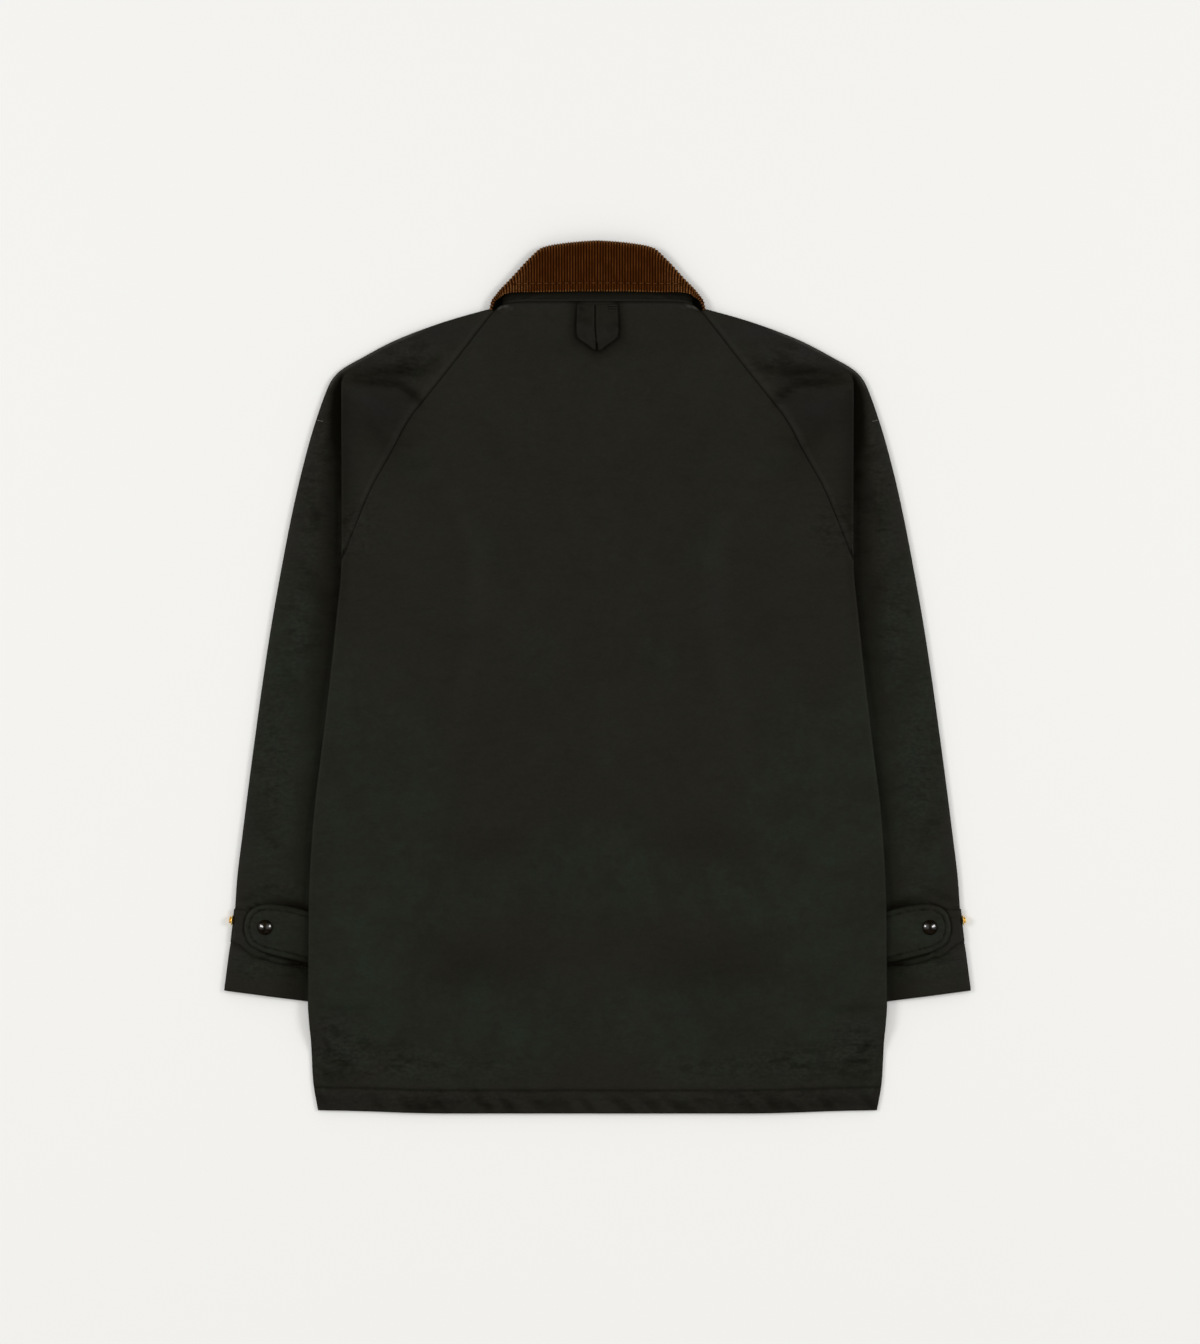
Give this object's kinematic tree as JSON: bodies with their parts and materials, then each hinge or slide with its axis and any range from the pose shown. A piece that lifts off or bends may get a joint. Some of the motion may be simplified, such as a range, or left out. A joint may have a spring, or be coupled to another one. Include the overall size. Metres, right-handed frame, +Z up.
{
  "type": "waxed cotton jacket",
  "caption": "Waxed cotton jacket laid face down: raglan sleeves folded in beside the body, corduroy collar, hanger loop and snap tabs on the cuffs.",
  "frame": {"origin": "middle of the jacket's bounding box, on the surface that it lies on", "axes": "+Z up out of the jacket's back, +Y from the hem to the collar, +X across towards the wearer's right sleeve"},
  "size_m": [0.7486, 0.8746, 0.0139],
  "materials": {
    "back_panel": "dark olive waxed cotton, dull with a faint waxy sheen",
    "front_left": "dark olive waxed cotton, dull with a faint waxy sheen",
    "front_right": "dark olive waxed cotton, dull with a faint waxy sheen",
    "sleeve_left": "dark olive waxed cotton, dull with a faint waxy sheen",
    "sleeve_right": "dark olive waxed cotton, dull with a faint waxy sheen",
    "collar_fall": "rust brown corduroy with fine wales",
    "collar_stand": "dark olive waxed cotton",
    "hanger_loop": "dark olive waxed cotton",
    "cuff_tab_left": "dark olive waxed cotton",
    "cuff_tab_right": "dark olive waxed cotton",
    "cuff_strap_left": "dark olive waxed cotton",
    "cuff_strap_right": "dark olive waxed cotton",
    "snap_cap_left": "glossy very dark brown enamel",
    "snap_cap_right": "glossy very dark brown enamel",
    "cuff_stud_left": "bright brass",
    "cuff_stud_right": "bright brass"
  },
  "bodies": {
    "root": {"back_panel": "back_panel", "front_left": "front_left", "front_right": "front_right", "sleeve_left": "sleeve_left", "sleeve_right": "sleeve_right", "collar_fall": "collar_fall", "collar_stand": "collar_stand", "hanger_loop": "hanger_loop", "cuff_tab_left": "cuff_tab_left", "cuff_tab_right": "cuff_tab_right", "cuff_strap_left": "cuff_strap_left", "cuff_strap_right": "cuff_strap_right", "snap_cap_left": "snap_cap_left", "snap_cap_right": "snap_cap_right", "cuff_stud_left": "cuff_stud_left", "cuff_stud_right": "cuff_stud_right"}
  },
  "joints": []
}
